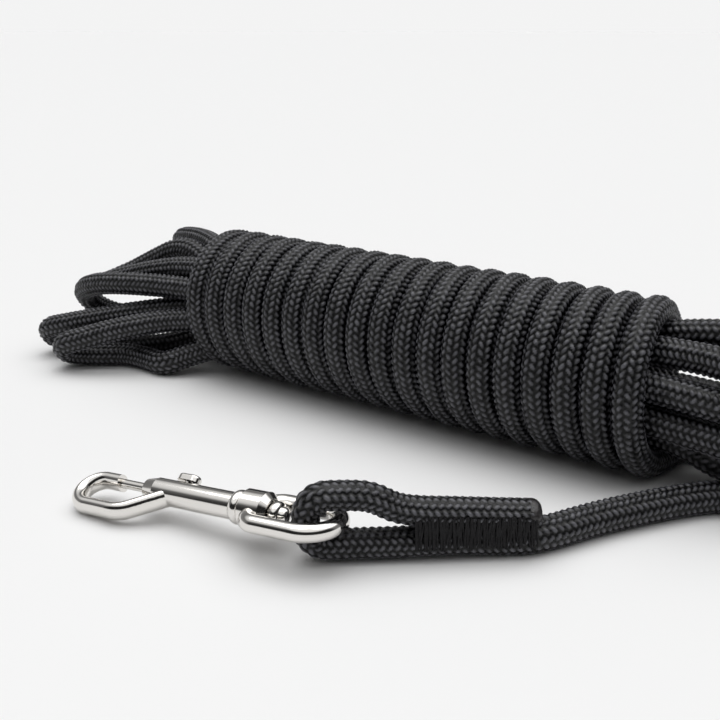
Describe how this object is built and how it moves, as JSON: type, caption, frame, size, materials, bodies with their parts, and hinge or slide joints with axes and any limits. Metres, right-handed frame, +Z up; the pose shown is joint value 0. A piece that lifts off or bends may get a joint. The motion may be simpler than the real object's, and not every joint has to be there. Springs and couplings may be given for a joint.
{
  "type": "training leash",
  "caption": "Braided rope training leash wound into a hank, with a swivel bolt snap held in a sewn eye on its free end.",
  "frame": {"origin": "on the table, at the middle of the whole part's footprint", "axes": "+X along the hank towards the end that the free rope leaves, +Y away from the snap, +Z up"},
  "size_m": [0.2683, 0.1404, 0.048],
  "materials": {
    "rope": "round sixteen-strand braid, charcoal black, matt with a slight sheen on each strand",
    "thread": "heavy black sewing thread",
    "seal": "melted fibre, dull black",
    "plated_metal": "bright nickel plate over a zinc casting, a little uneven",
    "spring_wire": "drawn spring wire"
  },
  "bodies": {
    "leash": {"hank_wraps": "rope", "hank_loops_left": "rope", "hank_loops_right": "rope", "rope_run": "rope", "rope_standing": "rope", "rope_eye": "rope", "rope_tail": "rope", "rope_end": "rope", "tail_seal": "seal", "end_seal": "seal", "splice_stitching": "thread"},
    "swivel": {"swivel_eye": "plated_metal"},
    "snap": {"snap_body": "plated_metal", "swivel_stem": "plated_metal", "bolt_spring": "spring_wire"},
    "bolt": {"bolt": "plated_metal", "thumb_stud": "plated_metal"}
  },
  "joints": [
    {"name": "eye_tilt", "type": "hinge", "parent": "leash", "child": "swivel", "pos_m": [0.0452, -0.0482, 0.0099], "axis": [-0.6428, 0.766, 0], "range_deg": [-60, 90]},
    {"name": "swivel_spin", "type": "hinge", "parent": "swivel", "child": "snap", "pos_m": [0.02301, -0.05468, 0.00856], "axis": [-0.9906, -0.1129, -0.0767], "continuous": true},
    {"name": "bolt_slide", "type": "slide", "parent": "snap", "child": "bolt", "axis": [0.9906, 0.1129, 0.0767], "range_m": [0, 0.007], "stiffness_N_per_m": 400, "springref_m": -0.008, "deforming": ["bolt_spring"]}
  ]
}
